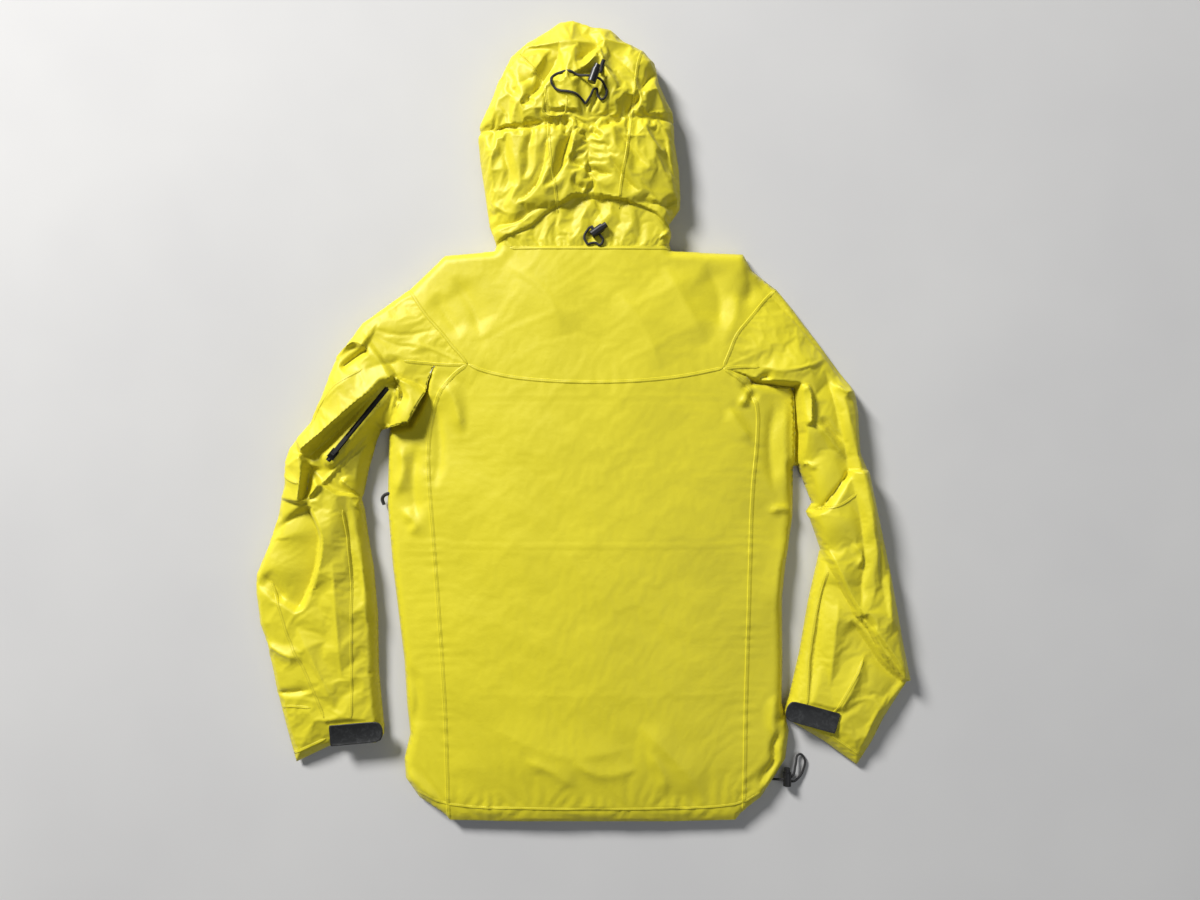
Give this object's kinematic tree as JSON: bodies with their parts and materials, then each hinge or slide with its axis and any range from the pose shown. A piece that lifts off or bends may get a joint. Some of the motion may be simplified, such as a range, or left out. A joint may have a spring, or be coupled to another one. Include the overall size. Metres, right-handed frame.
{
  "type": "hooded hardshell jacket",
  "caption": "Hooded waterproof shell jacket laid flat, back up, with folding hood, swinging sleeves, sliding zips, cuff straps and cord locks.",
  "frame": {"origin": "middle of the hanging loop inside the centre-back neck seam", "axes": "+X across the back towards the wearer's right, +Y along the spine from hem to hood, +Z out of the back of the jacket, which lies front down"},
  "size_m": [0.8941, 1.0862, 0.079],
  "materials": {
    "face_cloth": "coated three-layer nylon, matt",
    "lining": "light knit backer",
    "webbing": "woven tape",
    "zip_tape": "laminated water-resistant tape",
    "zip_plastic": "moulded",
    "slider_metal": "black enamel",
    "pull_rubber": "moulded",
    "lock_plastic": "moulded",
    "cord": "braided elastic",
    "tab_rubber": "laminated strap",
    "loop_pile": "loop pile",
    "spring_steel": "bright wire"
  },
  "bodies": {
    "shell": {"back_panel": "face_cloth", "back_yoke": "face_cloth", "side_panel_left": "face_cloth", "side_panel_right": "face_cloth", "front_panel_left": "face_cloth", "front_panel_right": "face_cloth", "pocket_bag_left": "lining", "pocket_bag_right": "lining", "collar_back": "face_cloth", "chin_guard_left": "lining", "chin_guard_right": "lining", "hanging_loop": "webbing", "main_zip_tape_left": "zip_tape", "main_zip_tape_right": "zip_tape", "main_zip_teeth": "zip_plastic", "main_zip_top_stops": "zip_plastic", "main_zip_box": "zip_plastic", "main_zip_insertion_pin": "zip_plastic", "storm_flap": "face_cloth", "pocket_zip_left_chain": "zip_tape", "pocket_zip_right_chain": "zip_tape", "collar_lock_barrel": "lock_plastic", "collar_lock_spring": "spring_steel", "collar_cord": "cord", "hem_cord": "cord", "hem_lock_left_barrel": "face_cloth", "hem_lock_right_barrel": "face_cloth"},
    "hood": {"hood_centre_panel": "face_cloth", "hood_side_left": "face_cloth", "hood_side_right": "face_cloth", "hood_brim": "face_cloth", "hood_face_layer": "face_cloth", "hood_lock_barrel": "lock_plastic", "hood_lock_spring": "spring_steel", "hood_cord": "cord"},
    "upper_arm_left": {"upper_sleeve_left": "face_cloth", "pit_zip_left_chain": "zip_tape"},
    "upper_arm_right": {"upper_sleeve_right": "face_cloth", "pit_zip_right_chain": "zip_tape"},
    "forearm_left_body": {"forearm_left": "face_cloth", "cuff_loop_patch_left": "loop_pile"},
    "forearm_right_body": {"forearm_right": "face_cloth", "cuff_loop_patch_right": "loop_pile"},
    "tab_left": {"cuff_tab_left": "tab_rubber"},
    "tab_right": {"cuff_tab_right": "tab_rubber"},
    "main_slider": {"main_zip_slider": "slider_metal"},
    "main_pull": {"main_zip_pull": "pull_rubber"},
    "hood_button": {"hood_lock_button": "lock_plastic"},
    "collar_button": {"collar_lock_button": "lock_plastic"},
    "hem_button_left": {"hem_lock_left_button": "face_cloth"},
    "hem_button_right": {"hem_lock_right_button": "face_cloth"},
    "pocket_zip_left_runner": {"pocket_zip_left_slider": "slider_metal"},
    "pocket_zip_left_puller": {"pocket_zip_left_pull": "pull_rubber"},
    "pocket_zip_right_runner": {"pocket_zip_right_slider": "slider_metal"},
    "pocket_zip_right_puller": {"pocket_zip_right_pull": "pull_rubber"},
    "pit_zip_left_runner": {"pit_zip_left_slider": "slider_metal"},
    "pit_zip_left_puller": {"pit_zip_left_pull": "pull_rubber"},
    "pit_zip_right_runner": {"pit_zip_right_slider": "slider_metal"},
    "pit_zip_right_puller": {"pit_zip_right_pull": "pull_rubber"}
  },
  "joints": [
    {"name": "hood_fold", "type": "hinge", "parent": "shell", "child": "hood", "pos_m": [0, 0.048, 0.005], "axis": [1, 0, 0], "range_deg": [0, 115]},
    {"name": "shoulder_left", "type": "hinge", "parent": "shell", "child": "upper_arm_left", "pos_m": [-0.262, -0.148, 0], "axis": [0, 0, 1], "range_deg": [-35, 0]},
    {"name": "shoulder_right", "type": "hinge", "parent": "shell", "child": "upper_arm_right", "pos_m": [0.262, -0.148, 0], "axis": [0, 0, 1], "range_deg": [0, 35]},
    {"name": "elbow_left", "type": "hinge", "parent": "upper_arm_left", "child": "forearm_left_body", "pos_m": [-0.385, -0.415, 0], "axis": [0, 0, 1], "range_deg": [-30, 0]},
    {"name": "elbow_right", "type": "hinge", "parent": "upper_arm_right", "child": "forearm_right_body", "pos_m": [0.352, -0.462, 0], "axis": [0, 0, 1], "range_deg": [0, 30]},
    {"name": "cuff_tab_peel_left", "type": "hinge", "parent": "forearm_left_body", "child": "tab_left", "pos_m": [-0.357, -0.658, -0.0069], "axis": [0.0872, -0.9962, 0], "range_deg": [0, 150]},
    {"name": "cuff_tab_peel_right", "type": "hinge", "parent": "forearm_right_body", "child": "tab_right", "pos_m": [0.3285, -0.641, -0.0051], "axis": [0.2639, 0.9646, 0], "range_deg": [0, 150]},
    {"name": "main_zip_run", "type": "slide", "parent": "shell", "child": "main_slider", "axis": [0, -1, 0], "range_m": [0, 0.775]},
    {"name": "main_pull_flip", "type": "hinge", "parent": "main_slider", "child": "main_pull", "pos_m": [0, 0.035, -0.0295], "axis": [1, 0, 0], "range_deg": [0, 180]},
    {"name": "pocket_zip_left_run", "type": "slide", "parent": "shell", "child": "pocket_zip_left_runner", "axis": [0, -1, 0], "range_m": [0, 0.155]},
    {"name": "pocket_zip_left_flip", "type": "hinge", "parent": "pocket_zip_left_runner", "child": "pocket_zip_left_puller", "pos_m": [-0.158, -0.339, -0.0295], "axis": [1, 0, 0], "range_deg": [0, 180]},
    {"name": "pocket_zip_right_run", "type": "slide", "parent": "shell", "child": "pocket_zip_right_runner", "axis": [0, -1, 0], "range_m": [0, 0.155]},
    {"name": "pocket_zip_right_flip", "type": "hinge", "parent": "pocket_zip_right_runner", "child": "pocket_zip_right_puller", "pos_m": [0.158, -0.339, -0.0295], "axis": [1, 0, 0], "range_deg": [0, 180]},
    {"name": "pit_zip_left_run", "type": "slide", "parent": "upper_arm_left", "child": "pit_zip_left_runner", "axis": [0.632, 0.7749, 0], "range_m": [0, 0.09]},
    {"name": "pit_zip_left_flip", "type": "hinge", "parent": "pit_zip_left_runner", "child": "pit_zip_left_puller", "pos_m": [-0.34811, -0.27742, 0.01], "axis": [0.7749, -0.632, 0], "range_deg": [0, 180]},
    {"name": "pit_zip_right_run", "type": "slide", "parent": "upper_arm_right", "child": "pit_zip_right_runner", "axis": [-0.2756, 0.9613, 0], "range_m": [0, 0.09]},
    {"name": "pit_zip_right_flip", "type": "hinge", "parent": "pit_zip_right_runner", "child": "pit_zip_right_puller", "pos_m": [0.31262, -0.32675, -0.0295], "axis": [-0.9613, -0.2756, 0], "range_deg": [0, 180]},
    {"name": "hood_lock_press", "type": "slide", "parent": "hood", "child": "hood_button", "axis": [-0.342, -0.9397, 0], "range_m": [0, 0.004], "stiffness_N_per_m": 600, "springref_m": -0.002, "deforming": ["hood_lock_spring"]},
    {"name": "collar_lock_press", "type": "slide", "parent": "shell", "child": "collar_button", "axis": [-0.8192, -0.5736, 0], "range_m": [0, 0.004], "stiffness_N_per_m": 600, "springref_m": -0.002, "deforming": ["collar_lock_spring"]},
    {"name": "hem_left_lock_press", "type": "slide", "parent": "shell", "child": "hem_button_left", "axis": [0, -1, 0], "range_m": [0, 0.004], "stiffness_N_per_m": 600, "springref_m": -0.002},
    {"name": "hem_right_lock_press", "type": "slide", "parent": "shell", "child": "hem_button_right", "axis": [0, -1, 0], "range_m": [0, 0.004], "stiffness_N_per_m": 600, "springref_m": -0.002}
  ]
}
